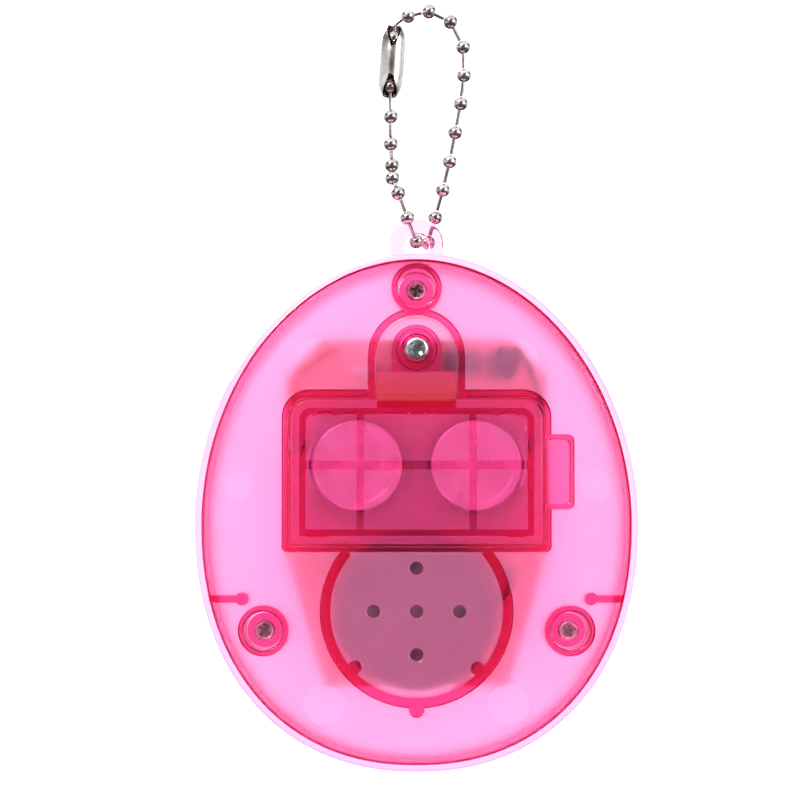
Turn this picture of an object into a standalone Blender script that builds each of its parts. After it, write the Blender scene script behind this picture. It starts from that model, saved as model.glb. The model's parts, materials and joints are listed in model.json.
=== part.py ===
"""Virtual pet keychain: a translucent egg-shaped electronic toy on a ball-chain loop.

Row frame: metres, +Z up, the screen looks along -Y and the battery side along +Y.
The origin is the point inside the top of the chain loop where a hook carries it, so the toy
hangs below it. Lengths in this script are millimetres and are turned into metres when a mesh
is made. The toy's own heights are counted from the row where the egg is widest.
"""

import math

import bmesh
import bpy
from mathutils import Matrix, Vector

MM = 0.001
EGG_Z = -64.24         # height of the egg's widest row below the hang point
EGG_SEGS = 52

# ---- driving dimensions, millimetres ----
HALF_WIDTH = 27.56     # egg half width at its widest row
TOP_H, TOP_N = 33.6, 1.955      # height above the widest row, and how full the curve is
LOW_H, LOW_N = 30.88, 2.20      # depth below it
REAR_Y = 8.6           # outer rear face
WALL, SIDE = 1.3, 1.0  # rear face and side wall
SEAM = -0.15           # the front shell starts here and the rear shell at 0
FRONT_EDGE, FRONT_DOME = 2.6, 6.8   # straight side, then the dome's own depth
CASE_SCREWS = ((0.0, 29.16), (19.0, -13.44), (-19.0, -13.44))
BOSS_R, BORE_R = 3.15, 2.35
GRILLE = (0.0, -11.03)
GRILLE_PITCH = 5.34
CELL_R, CELL_H, CELL_X, CELL_Z = 5.8, 5.4, 7.4, 7.1
CELL_Y0 = 1.3
DOOR = (-15.6, 15.6, -2.7, 15.2)    # door plate: x0, x1, z0, z1
DOOR_Y = (7.4, 8.5)
DOOR_SCREW = (0.0, 21.6)
LUG_HOLE, LUG_HOLE_R = (0.0, 35.05), 1.6
LUG_Y = (0.15, 2.15)
DOOR_HINGE = (8.5, -2.7)            # y, zb of the edge the door tips out about
LUG_PIVOT = (0.0, 1.15, 35.49)       # where the chain's wire bears in the lug
WINDOW_Z = 5.5
BUTTONS = {"button_left": (9.5, -15.0), "button_middle": (0.0, -17.6), "button_right": (-9.5, -15.0)}
PCB_Y = (-1.6, -0.6)
BALL_R, BALL_HALF = 0.9, 0.78
WIRE_R = 0.24


# ---- scene and materials ----
for old in list(bpy.data.objects):
    bpy.data.objects.remove(old, do_unlink=True)

_materials = {}


def material(name, colour, roughness=0.4, metallic=0.0, alpha=1.0):
    if name not in _materials:
        m = bpy.data.materials.new(name)
        m.use_nodes = True
        p = m.node_tree.nodes["Principled BSDF"]
        p.inputs["Base Color"].default_value = (*colour, 1.0)
        p.inputs["Roughness"].default_value = roughness
        p.inputs["Metallic"].default_value = metallic
        p.inputs["Alpha"].default_value = alpha
        m.diffuse_color = (*colour, 1.0)
        _materials[name] = m
    return _materials[name]


PINK = ("translucent_pink", (1.0, 0.36, 0.68), 0.15, 0.0, 0.75)
NICKEL = ("nickel_plate", (0.72, 0.70, 0.68), 0.18, 1.0)
STEEL = ("screw_steel", (0.45, 0.40, 0.40), 0.3, 1.0)
CLEAR = ("clear_lens", (0.92, 0.95, 0.96), 0.05)
BEZEL = ("bezel_plastic", (0.93, 0.93, 0.95), 0.3)
LCD = ("lcd_glass", (0.55, 0.60, 0.50), 0.2)
BOARD = ("circuit_board", (0.10, 0.28, 0.12), 0.5)
EPOXY = ("black_epoxy", (0.02, 0.02, 0.02), 0.4)
RUBBER = ("grey_silicone", (0.55, 0.55, 0.56), 0.7)
BUTTON = ("button_plastic", (0.96, 0.80, 0.18), 0.3)
CARRIER = ("white_plastic", (0.85, 0.85, 0.84), 0.5)
CERAMIC = ("silvered_ceramic", (0.85, 0.84, 0.80), 0.5, 0.3)
RED = ("red_pvc", (0.75, 0.04, 0.04), 0.45)
BLACK = ("black_pvc", (0.03, 0.03, 0.03), 0.45)


# ---- mesh helpers ----
def at(x, y, zb):
    """A point of the toy as metres in the row frame; zb is counted from the widest row."""
    return Vector((x * MM, y * MM, (zb + EGG_Z) * MM))


def mesh_object(name, points, faces, look=PINK, smooth=True):
    mesh = bpy.data.meshes.new(name)
    mesh.from_pydata([tuple(p) for p in points], [], faces)
    bm = bmesh.new()
    bm.from_mesh(mesh)
    bmesh.ops.recalc_face_normals(bm, faces=bm.faces)
    bm.to_mesh(mesh)
    bm.free()
    obj = bpy.data.objects.new(name, mesh)
    bpy.context.scene.collection.objects.link(obj)
    mesh.materials.append(material(*look))
    if smooth:
        mesh.shade_smooth()
        mesh.set_sharp_from_angle(angle=math.radians(35))
    return obj


def rings_object(name, rings, look=PINK, closed=False):
    """Quads between equal rings of points, with an n-gon on each end unless the rings close up."""
    n = len(rings[0])
    points = [p for ring in rings for p in ring]
    faces = []
    steps = len(rings) if closed else len(rings) - 1
    for k in range(steps):
        a, b = k * n, ((k + 1) % len(rings)) * n
        for i in range(n):
            j = (i + 1) % n
            faces.append((a + i, a + j, b + j, b + i))
    if not closed:
        faces.append(tuple(range(n)))
        faces.append(tuple((len(rings) - 1) * n + i for i in reversed(range(n))))
    return mesh_object(name, points, faces, look)


def boolean(target, tool, operation="DIFFERENCE"):
    """Applies an exact Boolean and removes the tool."""
    mod = target.modifiers.new("cut", "BOOLEAN")
    mod.object, mod.operation, mod.solver = tool, operation, "EXACT"
    graph = bpy.context.evaluated_depsgraph_get()
    made = bpy.data.meshes.new_from_object(target.evaluated_get(graph))
    target.modifiers.clear()
    made.shade_smooth()
    made.set_sharp_from_angle(angle=math.radians(30))
    target.data = made
    bpy.data.objects.remove(tool, do_unlink=True)
    return target


def cut(target, *tools):
    for tool in tools:
        boolean(target, tool)
    return target


def join(target, *tools):
    for tool in tools:
        boolean(target, tool, "UNION")
    return target


def prism(name, outline, y0, y1, look=PINK):
    """An outline of (x, zb) pushed along Y."""
    return rings_object(name, [[at(x, y, z) for x, z in outline] for y in (y0, y1)], look)


def circle(x, z, r, n=20, start=0.0):
    return [(x + r * math.cos(start + 2 * math.pi * i / n), z + r * math.sin(start + 2 * math.pi * i / n)) for i in range(n)]


def cylinder(name, x, z, r, y0, y1, n=20, look=PINK):
    return prism(name, circle(x, z, r, n), y0, y1, look)


def turned(name, x, z, profile, n=20, look=PINK):
    """A body turned about an axis along Y, from (radius, y) pairs that run along it."""
    return rings_object(name, [[at(x + r * math.cos(2 * math.pi * i / n), y, z + r * math.sin(2 * math.pi * i / n)) for i in range(n)] for r, y in profile], look)


def tube(name, x, z, r_in, r_out, y0, y1, n=24, look=PINK):
    rings = []
    for r, y in ((r_in, y0), (r_out, y0), (r_out, y1), (r_in, y1)):
        rings.append([at(x + r * math.cos(2 * math.pi * i / n), y, z + r * math.sin(2 * math.pi * i / n)) for i in range(n)])
    return rings_object(name, rings, look, closed=True)


def rounded(x0, x1, z0, z1, r, n=5):
    """A rectangle with rounded corners; r is one radius or those of the corners (x1 z1), (x0 z1), (x0 z0), (x1 z0)."""
    radii = r if isinstance(r, tuple) else (r,) * 4
    corners = ((x1, z1, 0), (x0, z1, 90), (x0, z0, 180), (x1, z0, 270))
    out = []
    for (cx, cz, a0), rad in zip(corners, radii):
        mx = cx - math.copysign(rad, cx - (x0 + x1) / 2)
        mz = cz - math.copysign(rad, cz - (z0 + z1) / 2)
        for i in range(n + 1):
            a = math.radians(a0 + 90 * i / n)
            out.append((mx + rad * math.cos(a), mz + rad * math.sin(a)))
    return out


def box(name, x0, x1, y0, y1, z0, z1, look=PINK):
    return prism(name, [(x0, z0), (x1, z0), (x1, z1), (x0, z1)], y0, y1, look)


def arc_band(cx, cz, r0, r1, a0, a1, n):
    """A C-shaped outline between two radii, from angle a0 to a1 in degrees."""
    steps = [math.radians(a0 + (a1 - a0) * i / n) for i in range(n + 1)]
    return [(cx + r1 * math.cos(a), cz + r1 * math.sin(a)) for a in steps] + [(cx + r0 * math.cos(a), cz + r0 * math.sin(a)) for a in reversed(steps)]


def egg(inset=0.0, scale=1.0):
    """The egg's outline: two superellipse halves, moved in along their normals, or scaled."""
    points = []
    for i in range(EGG_SEGS):
        t = 2 * math.pi * (i + 0.5) / EGG_SEGS
        c, s = math.cos(t), math.sin(t)
        h, n = (TOP_H, TOP_N) if s >= 0 else (LOW_H, LOW_N)
        points.append((math.copysign(HALF_WIDTH * abs(c) ** (2 / n), c) * scale, math.copysign(h * abs(s) ** (2 / n), s) * scale))
    if not inset:
        return points
    moved = []
    for i, (x, z) in enumerate(points):
        (xa, za), (xb, zb) = points[i - 1], points[(i + 1) % EGG_SEGS]
        tx, tz = xb - xa, zb - za
        long = math.hypot(tx, tz)
        moved.append((x - inset * tz / long, z + inset * tx / long))
    return moved


def egg_loft(name, stations, look=PINK):
    """A solid through egg outlines, from (inset, scale, y) stations."""
    return rings_object(name, [[at(x, y, z) for x, z in egg(inset, scale)] for inset, scale, y in stations], look)


def dome_y(share):
    """Depth of the front shell's outer face where the egg is scaled to this share."""
    return -(FRONT_EDGE + FRONT_DOME * math.sqrt(max(0.0, 1 - share ** 3.2)))


# ---- rear shell: one moulding with the lug, screw bosses, battery well and speaker ring ----
def rear_shell():
    shell = egg_loft("rear_shell", [(0, 1, 0), (0, 1, 6.4), (0.1, 1, 7.35), (0.35, 1, 8.0), (0.65, 1, 8.35), (1.1, 1, REAR_Y)])
    hollow = egg_loft("hollow", [(SIDE, 1, -1.0), (SIDE, 1, 5.6), (SIDE + 0.25, 1, 6.7), (SIDE + 0.9, 1, REAR_Y - WALL)])
    for x, z in CASE_SCREWS:                      # screw bosses
        cut(hollow, cylinder("k", x, z, BOSS_R, 1.1, 9.5))
    gx, gz = GRILLE
    cut(hollow, prism("k", arc_band(gx, gz, 10.6, 12.0, 140, 400, 30), 1.5, 9.5))     # speaker ring, open under the well
    cut(hollow, cylinder("k", gx, gz - 12.2, 0.95, 1.45, 9.6, 12))
    for a in (-137, -42):                         # posts that hold the speaker disc down
        cut(hollow, cylinder("k", gx + 10.3 * math.cos(math.radians(a)), gz + 10.3 * math.sin(math.radians(a)), 0.85, 2.4, 9.6, 12))
    cut(hollow, prism("k", rounded(-16.75, 16.75, -3.7, 16.5, (3.45, 3.45, 0.7, 0.7)), 2.2, 9.4))     # battery well walls
    for x in (CELL_X, -CELL_X):                   # cups for the two cells
        cut(hollow, cylinder("k", x, CELL_Z, 6.9, -1.5, 2.6, 28))
    arch = [(6.06 * math.cos(math.radians(a)), 20.6 + 6.06 * math.sin(math.radians(a))) for a in range(0, 181, 15)]
    cut(hollow, prism("k", arch + [(-6.06, 15.0), (6.06, 15.0)], 2.7, 9.45))          # pocket for the door's tongue
    under = [(5.1 * math.cos(math.radians(a)), 20.6 + 5.1 * math.sin(math.radians(a))) for a in range(0, 181, 15)]
    join(hollow, prism("k", under + [(-5.1, 16.9), (5.1, 16.9)], 1.4, 3.6))           # its wall stands on past the floor
    cut(hollow, cylinder("k", *DOOR_SCREW, 2.1, 0.2, 4.0, 16))
    cut(hollow, prism("k", rounded(-19.6, -15.5, 1.6, 10.9, 0.8, 3), 2.6, 9.35))      # fingernail notch
    for side in (1, -1):                          # locating ribs with a round end
        cut(hollow, box("k", *sorted((side * 21.6, side * 28.5)), 1.3, 9.5, -9.95, -9.05), cylinder("k", side * 21.6, -9.5, 0.8, 1.35, 9.55, 12))
    cut(shell, hollow)
    lug_z = 35.1
    lug = [(3.45 * math.cos(math.radians(a)), lug_z + 3.45 * math.sin(math.radians(a))) for a in range(0, 181, 12)]
    join(shell, prism("k", lug + [(-3.45, 32.75), (3.45, 32.75)], *LUG_Y))
    # cuts from outside
    for x, z in CASE_SCREWS:
        cut(shell, cylinder("k", x, z, BORE_R, 3.0, 10.5), cylinder("k", x, z, 1.05, -2.0, 4.0, 14))
    x0, x1, z0, z1 = DOOR
    cut(shell, prism("k", rounded(x0 - 0.3, x1 + 0.3, z0 - 0.3, z1 + 0.3, (2.6, 2.6, 0.4, 0.4)), 7.3, 10.0))
    cut(shell, prism("k", rounded(x0 + 0.7, x1 - 0.7, z0 + 0.7, z1 - 0.7, (1.8, 1.8, 0.4, 0.4)), 3.0, 10.1))
    for x in (CELL_X, -CELL_X):
        cut(shell, cylinder("k", x, CELL_Z, 6.1, 0.85, 10.2, 28))
    pocket = [(5.1 * math.cos(math.radians(a)), 20.6 + 5.1 * math.sin(math.radians(a))) for a in range(0, 181, 15)]
    cut(shell, prism("k", pocket + [(-5.1, 13.9), (5.1, 13.9)], 4.4, 10.3))
    cut(shell, cylinder("k", *DOOR_SCREW, 1.15, 1.2, 5.0, 14))
    cut(shell, prism("k", rounded(-18.9, -14.5, 2.3, 10.2, 0.6, 3), 6.4, 10.15))
    for x, z in ((0, 0), (1, 0), (-1, 0), (0, 1), (0, -1)):
        cut(shell, cylinder("k", gx + x * GRILLE_PITCH, gz + z * GRILLE_PITCH, 0.8, 5.0, 10.4, 12))
    cut(shell, cylinder("k", *LUG_HOLE, LUG_HOLE_R, -1.0, 4.0, 18))
    cut(shell, box("k", 12.6, 14.5, -0.9, 6.0, CELL_Z - 3.2, CELL_Z + 3.2))           # slot for the positive contact
    cut(shell, box("k", -14.5, -12.6, -0.95, 6.05, CELL_Z - 3.2, CELL_Z + 3.2))       # slot for the bridge
    cut(shell, box("k", -1.6, -0.2, -0.97, 2.0, CELL_Z - 1.2, CELL_Z + 1.2))          # slot for the negative contact's tail
    return shell


# ---- front shell: dome with the screen window and the button holes ----
def front_shell():
    shares = (0.99, 0.96, 0.905, 0.82, 0.69, 0.5, 0.25)
    # the lip that the rear shell slides over comes first, then the straight side and the dome
    shell = egg_loft("front_shell", [(SIDE + 0.15, 1, 0.85), (SIDE + 0.15, 1, SEAM), (0, 1, SEAM), (0, 1, -FRONT_EDGE)] + [(0, s, dome_y(s)) for s in shares])
    hollow = egg_loft("hollow", [(SIDE + 0.8, 1, 1.5), (SIDE + 0.8, 1, -1.0), (1.1, 1, -1.2), (1.1, 1, -2.6), (0, 0.94, -4.0), (0, 0.9, -4.95), (0, 0.845, -5.7), (0, 0.77, -6.25), (0, 0.7, -6.4)])
    for x, z in CASE_SCREWS:                      # the bosses rise past the seam to meet the rear ones
        cut(hollow, cylinder("k", x, z, 2.4, -9.0, 0.9))
    for side in (1, -1):                          # posts that carry the circuit board
        cut(hollow, cylinder("k", side * 15.2, 10.0, 1.3, -9.1, PCB_Y[0] - 0.1, 12))
    cut(shell, hollow)
    for x, z in CASE_SCREWS:
        cut(shell, cylinder("k", x, z, 0.9, -4.6, 1.7, 12))
    for side in (1, -1):
        cut(shell, cylinder("k", side * 15.2, 10.0, 0.62, -4.4, 0.0, 10))
    z0, z1 = WINDOW_Z - 13.15, WINDOW_Z + 13.15
    cut(shell, prism("k", rounded(-15.15, 15.15, z0, z1, 6.1, 6), -12.0, -7.9))
    cut(shell, prism("k", rounded(-12.8, 12.8, WINDOW_Z - 10.8, WINDOW_Z + 10.8, 4.1, 6), -12.5, -5.0))
    for x, z in BUTTONS.values():
        cut(shell, cylinder("k", x, z, 3.05, -12.1, -5.2, 20))
    return shell


def door():
    x0, x1, z0, z1 = DOOR
    y0, y1 = DOOR_Y
    d = prism("battery_door", rounded(x0, x1, z0, z1, (2.4, 2.4, 0.3, 0.3)), y0, y1)
    rim = prism("rim", rounded(x0 + 1.0, x1 - 1.0, z0 + 1.0, z1 - 1.0, (1.5, 1.5, 0.3, 0.3)), 5.9, y0 + 0.3)
    cut(rim, prism("k", rounded(x0 + 1.8, x1 - 1.8, z0 + 1.8, z1 - 1.8, (0.9, 0.9, 0.2, 0.2)), 5.0, y0 + 1.0))
    join(d, rim)
    for x in (7.0, -7.0):                         # ribs that press on the cells
        join(d, box("k", x - 0.45, x + 0.45, 6.8, y0 + 0.32, z0 + 1.4, z1 - 1.4))
    join(d, box("k", x0 + 1.4, x1 - 1.4, 6.82, y0 + 0.34, CELL_Z - 0.55, CELL_Z + 0.55))
    slope = ((14.15, 4.75), (18.9, 4.75), (18.9, 6.5), (15.1, 7.9), (14.15, 7.9))      # solid step down to the tongue
    join(d, rings_object("k", [[at(x, y, z) for z, y in slope] for x in (-4.9, 4.9)]))
    tongue = [(3.1 * math.cos(math.radians(a)), DOOR_SCREW[1] + 3.1 * math.sin(math.radians(a))) for a in range(0, 181, 15)]
    join(d, prism("k", tongue + [(-3.1, 17.9), (3.1, 17.9)], 4.65, 6.2))
    join(d, tube("k", *DOOR_SCREW, 2.0, 2.6, 6.0, 6.65, 20))
    for x in (12.4, -12.4):                       # tabs that locate the lower edge in the seat
        join(d, box("k", x - 1.3, x + 1.3, 5.2, y0 + 0.38, z0 + 0.85, z0 + 1.5))
    cut(d, cylinder("k", *DOOR_SCREW, 1.12, 3.0, 8.0, 14))
    return d


def screw(name, x, z, head_r, head_h, shank_r, y_seat, y_tip, look=STEEL, slot=0.0, n=14):
    """A pan-head screw along Y, its head above y_seat, with a cross recess."""
    s = turned(name, x, z, [(shank_r * 0.3, y_tip), (shank_r, y_tip + 0.7), (shank_r, y_seat), (head_r, y_seat), (head_r, y_seat + head_h * 0.55), (head_r * 0.86, y_seat + head_h * 0.88), (head_r * 0.5, y_seat + head_h)], n, look)
    w, l = head_r * 0.17, head_r * 0.62
    depth = y_seat + head_h * 0.35
    for a in (slot, slot + math.pi / 2):
        c, sn = math.cos(a), math.sin(a)
        cross = [(x + c * u - sn * v, z + sn * u + c * v) for u, v in ((-l, -w), (l, -w), (l, w), (-l, w))]
        cut(s, prism("k", cross, depth, y_seat + head_h + 1.0))
        depth += 0.01
    return s


def cell(name, x):
    """A button cell: can with a rolled edge, and the smaller cap towards the front."""
    y0, y1 = CELL_Y0, CELL_Y0 + CELL_H
    return turned(name, x, CELL_Z, [(4.6, y0), (4.75, y0 + 0.15), (4.85, y0 + 0.5), (5.45, y0 + 0.55), (CELL_R, y0 + 0.95), (CELL_R, y1 - 0.35), (CELL_R - 0.35, y1)], 32, NICKEL)


def wire(name, points, radius, look):
    """A fixed lead: a smooth round tube through its route points."""
    curve = bpy.data.curves.new(name, "CURVE")
    curve.dimensions = "3D"
    curve.bevel_depth = radius * MM
    curve.bevel_resolution = 2
    curve.use_fill_caps = True
    smooth = []
    n = len(points)
    for i in range(n - 1):
        p0, p1, p2, p3 = (Vector(points[max(0, min(n - 1, i + k))]) for k in (-1, 0, 1, 2))
        for s in range(4):
            t = s / 4
            smooth.append(0.5 * ((2 * p1) + (p2 - p0) * t + (2 * p0 - 5 * p1 + 4 * p2 - p3) * t * t + (3 * p1 - p0 - 3 * p2 + p3) * t ** 3))
    smooth.append(Vector(points[-1]))
    spline = curve.splines.new("POLY")
    spline.points.add(len(smooth) - 1)
    for p, q in zip(spline.points, smooth):
        v = at(*q)
        p.co = (v.x, v.y, v.z, 1)
    obj = bpy.data.objects.new(name, curve)
    bpy.context.scene.collection.objects.link(obj)
    curve.materials.append(material(*look))
    return obj


def button(name, x, z):
    """Cap with a domed top, a flange that stops it under the shell, and a stem onto the keypad."""
    return turned(name, x, z, [(1.4, -3.8), (1.4, -5.4), (3.6, -5.4), (3.6, -6.2), (2.9, -6.2), (2.9, -9.3), (2.65, -9.75), (2.0, -10.0), (1.0, -10.08)], 20, BUTTON)


# ---- ball chain ----
def chain_point(x, y, z):
    """A point of the chain, given from the hang point, as the toy's own (x, y, zb)."""
    return Vector((x, y, z - EGG_Z))


CHAIN = {                      # where the balls hang: x, y, z from the hang point
    "chain_end_ball_upper": (2.84, 1.0, -2.66),
    "chain_ball_01": (1.04, 1.0, 0.18),
    "chain_ball_02": (-1.61, 1.0, 0.74),
    "chain_ball_03": (-4.35, 1.0, -0.59),
    "chain_ball_04": (-5.96, 0.9, -3.80),
    "chain_ball_05": (-6.06, 0.8, -7.40),
    "chain_ball_06": (-5.64, 0.7, -11.00),
    "chain_ball_07": (-4.95, 0.5, -14.66),
    "chain_ball_08": (-4.24, 0.3, -18.33),
    "chain_ball_09": (-3.38, -0.1, -21.93),
    "chain_ball_10": (-2.41, -0.85, -25.37),
    "chain_ball_11": (-1.48, -1.1, -28.60),
    "chain_ball_12": (0.00, 2.4, -28.75),
    "chain_ball_13": (1.14, 3.8, -25.90),
    "chain_ball_14": (2.29, 3.1, -22.70),
    "chain_ball_15": (3.04, 2.5, -20.69),
    "chain_ball_16": (3.10, 2.1, -19.03),
    "chain_ball_17": (3.24, 1.6, -16.26),
    "chain_ball_18": (3.24, 1.2, -12.71),
    "chain_end_ball_lower": (3.33, 1.0, -8.84),
}
CLASP_TOP, CLASP_LOW = chain_point(2.76, 1.0, -1.03), chain_point(3.40, 1.0, -10.23)
# each link wire is part of the ball it starts from and stops just short of the ball it leads to
WIRES = {
    "chain_end_ball_upper": ("chain_ball_01", [(2.74, 1.0, -1.51), (2.53, 1.0, -0.86), (1.88, 1.0, -0.32)]),
    "chain_ball_01": ("chain_ball_02", []),
    "chain_ball_02": ("chain_ball_03", []),
    "chain_ball_03": ("chain_ball_04", []),
    "chain_ball_04": ("chain_ball_05", []),
    "chain_ball_05": ("chain_ball_06", []),
    "chain_ball_06": ("chain_ball_07", []),
    "chain_ball_07": ("chain_ball_08", []),
    "chain_ball_08": ("chain_ball_09", []),
    "chain_ball_09": ("chain_ball_10", []),
    "chain_ball_10": ("chain_ball_11", []),
    "chain_ball_11": ("chain_ball_12", []),
    "chain_ball_13": ("chain_ball_12", []),
    "chain_ball_14": ("chain_ball_13", []),
    "chain_ball_15": ("chain_ball_14", []),
    "chain_ball_17": ("chain_ball_16", []),
    "chain_ball_18": ("chain_ball_17", []),
    "chain_end_ball_lower": ("chain_ball_18", []),
}


def frame_of(direction):
    d = direction.normalized()
    side = d.cross(Vector((0, 1, 0)))
    side = side.normalized() if side.length > 1e-6 else Vector((1, 0, 0))
    return side, d.cross(side).normalized(), d


def swept(name, points, radius, n, look):
    """A round bar through points, with flat ends."""
    rings = []
    for i, p in enumerate(points):
        a, b = points[max(0, i - 1)], points[min(len(points) - 1, i + 1)]
        u, v, _ = frame_of(b - a)
        rings.append([p + (u * math.cos(2 * math.pi * k / n) + v * math.sin(2 * math.pi * k / n)) * radius for k in range(n)])
    return rings_object(name, [[at(*q) for q in ring] for ring in rings], look)


def chain_ball(name):
    place = chain_point(*CHAIN[name])
    names = list(CHAIN)
    i = names.index(name)
    before = chain_point(*CHAIN[names[max(0, i - 1)]])
    after = chain_point(*CHAIN[names[min(len(names) - 1, i + 1)]])
    if name.startswith("chain_end"):
        way = CLASP_LOW - CLASP_TOP
    else:
        way = (place - before).normalized() + (after - place).normalized()
    u, v, d = frame_of(way)
    profile = [(0.34, -BALL_HALF), (0.7, -0.5), (BALL_R, 0.0), (0.7, 0.5), (0.34, BALL_HALF)]
    rings = [[place + d * s + (u * math.cos(2 * math.pi * k / 10) + v * math.sin(2 * math.pi * k / 10)) * r for k in range(10)] for r, s in profile]
    ball = rings_object(name, [[at(*q) for q in ring] for ring in rings], NICKEL)
    if name in WIRES:
        target, via = WIRES[name]
        route = [place] + [chain_point(*p) for p in via] + [chain_point(*CHAIN[target])]
        last = (route[-1] - route[-2]).normalized()
        route[-1] = route[-1] - last * (BALL_R + 0.1)
        first = (route[1] - route[0]).normalized()
        route[0] = route[0] + first * 0.2
        join(ball, swept("k", route, WIRE_R, 6, NICKEL))
    return ball


def connector():
    """The chain's clasp: sheet metal rolled into a tube, open at both ends and along a slot at each end."""
    top, low = CLASP_TOP, CLASP_LOW
    u, v, d = frame_of(low - top)
    long = (low - top).length
    outer = [(0.78, 0.0), (1.22, 0.9), (1.49, 2.6), (1.55, long / 2), (1.49, long - 2.6), (1.22, long - 0.9), (0.78, long)]
    inner = [(0.53, long), (1.0, long - 0.95), (1.23, long - 2.6), (1.29, long / 2), (1.23, 2.6), (1.0, 0.95), (0.53, 0.0)]
    n = 16
    rings = [[at(*(top + d * s + (u * math.cos(2 * math.pi * k / n) + v * math.sin(2 * math.pi * k / n)) * r)) for k in range(n)] for r, s in outer + inner]
    body = rings_object("chain_connector", rings, NICKEL, closed=True)
    for s0, s1 in ((-0.6, 2.5), (long - 2.5, long + 0.6)):     # ball slots, on the side towards the loop and the rear
        corners = [top + d * s + u * a * 0.52 for s, a in ((s0, -1), (s1, -1), (s1, 1), (s0, 1))]
        reach = Vector((0, 1, 0))
        body = boolean(body, rings_object("k", [[at(*(c + reach * r)) for c in corners] for r in (0.0, 3.0)], NICKEL))
    return body


# ---- build everything ----
rear_shell()
front_shell()
door()
screw("case_screw_top", *CASE_SCREWS[0], 1.35, 1.15, 0.8, 3.1, -4.2, STEEL, 0.25)
screw("case_screw_left", *CASE_SCREWS[1], 1.35, 1.15, 0.8, 3.1, -4.2, STEEL, 0.6)
screw("case_screw_right", *CASE_SCREWS[2], 1.35, 1.15, 0.8, 3.1, -4.2, STEEL, -0.35)
screw("door_screw", *DOOR_SCREW, 1.6, 1.2, 0.8, 6.3, 2.2, NICKEL, math.pi / 4, 18)
cell("cell_left", CELL_X)
cell("cell_right", -CELL_X)

prism("screen_lens", rounded(-12.6, 12.6, WINDOW_Z - 10.6, WINDOW_Z + 10.6, 4.0, 6), -7.8, -6.55, CLEAR)
bezel = prism("screen_bezel", rounded(-15.0, 15.0, WINDOW_Z - 13.0, WINDOW_Z + 13.0, 6.0, 6), -9.3, -8.0, BEZEL)
cut(bezel, prism("k", rounded(-11.0, 11.0, WINDOW_Z - 9.0, WINDOW_Z + 9.0, 3.0, 5), -11.0, -7.0))
prism("lcd_panel", rounded(-12.2, 12.2, WINDOW_Z - 10.2, WINDOW_Z + 10.2, 0.4, 2), -5.3, -3.3, LCD)
carrier = prism("lcd_carrier", rounded(-13.2, 13.2, WINDOW_Z - 11.2, WINDOW_Z + 11.2, 1.2, 3), -6.25, -1.75, CARRIER)
cut(carrier, prism("k", rounded(-12.4, 12.4, WINDOW_Z - 10.4, WINDOW_Z + 10.4, 0.5, 2), -8.0, 0.0))
box("zebra_strip", -11.0, 11.0, -3.2, -1.7, WINDOW_Z - 9.4, WINDOW_Z - 7.4, RUBBER)

board = prism("circuit_board", [(12.0, 23.2), (-12.0, 23.2), (-16.4, 18.6), (-16.8, -3.0), (-11.5, -20.5), (11.5, -20.5), (16.8, -3.0), (16.4, 18.6)], *PCB_Y, BOARD)
for side in (1, -1):
    cut(board, cylinder("k", side * 15.2, 10.0, 0.8, -3.0, 1.0, 10))
    screw("board_screw_left" if side > 0 else "board_screw_right", side * 15.2, 10.0, 1.15, 0.75, 0.55, PCB_Y[1] + 0.08, -4.0, STEEL, 0.3 * side)
turned("chip_blob", -10.8, 20.2, [(2.3, PCB_Y[1] + 0.06), (2.1, -0.2), (1.5, 0.15), (0.6, 0.32)], 16, EPOXY)
box("crystal_can", 5.2, 8.2, PCB_Y[1] + 0.08, 0.75, 18.7, 19.9, NICKEL)
can = [[at(x, 1.0 + 1.5 * math.cos(2 * math.pi * k / 14), 20.3 + 1.5 * math.sin(2 * math.pi * k / 14)) for k in range(14)] for x in (-3.6, -8.0)]
rings_object("capacitor", can, EPOXY)

keypad = prism("rubber_keypad", [(12.6, -11.6), (-12.6, -11.6), (-11.0, -20.0), (11.0, -20.0)], -2.4, -1.7, RUBBER)
for x, z in BUTTONS.values():
    join(keypad, turned("k", x, z, [(2.1, -2.2), (2.1, -2.5), (1.5, -2.9)], 16, RUBBER))
for name, (x, z) in BUTTONS.items():
    button(name, x, z)

turned("speaker_disc", *GRILLE, [(10.1, 1.8), (10.1, 2.1)], 40, STEEL)
turned("speaker_ceramic", *GRILLE, [(7.2, 1.5), (7.2, 1.72)], 32, CERAMIC)

# battery contacts: thin nickel strips in the well
strip = prism("contact_positive", arc_band(CELL_X, CELL_Z, 6.02, 6.3, -26, 26, 8), -0.2, 5.6, NICKEL)
bridge = prism("contact_bridge", arc_band(-CELL_X, CELL_Z, 6.02, 6.3, 154, 206, 8), -0.2, 5.6, NICKEL)
turned("contact_negative", -CELL_X, CELL_Z, [(4.0, 0.95), (4.0, 1.15)], 24, NICKEL)
turned("contact_bridge_pad", CELL_X, CELL_Z, [(4.0, 0.95), (4.0, 1.15)], 24, NICKEL)

wire("battery_wire_red", [(15.6, 1.2, 15.6), (15.3, 1.3, 17.6), (13.8, 1.2, 19.7), (11.6, 0.9, 21.3), (9.6, 0.2, 21.8)], 0.4, RED)
wire("battery_wire_black", [(-15.6, 1.2, 13.6), (-15.5, 1.6, 16.2), (-14.6, 1.9, 18.6), (-13.9, 1.3, 20.4), (-12.6, 0.3, 22.3)], 0.4, BLACK)
wire("speaker_wire_red", [(3.2, 1.0, -8.2), (5.2, 0.8, -6.9), (7.6, 0.5, -6.6), (9.4, 0.2, -5.4)], 0.35, RED)
wire("speaker_wire_black", [(-8.6, 1.05, -11.0), (-10.8, 0.9, -9.4), (-11.8, 0.5, -7.4), (-11.4, 0.2, -5.4)], 0.35, BLACK)

for ball_name in CHAIN:
    chain_ball(ball_name)
connector()

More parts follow.
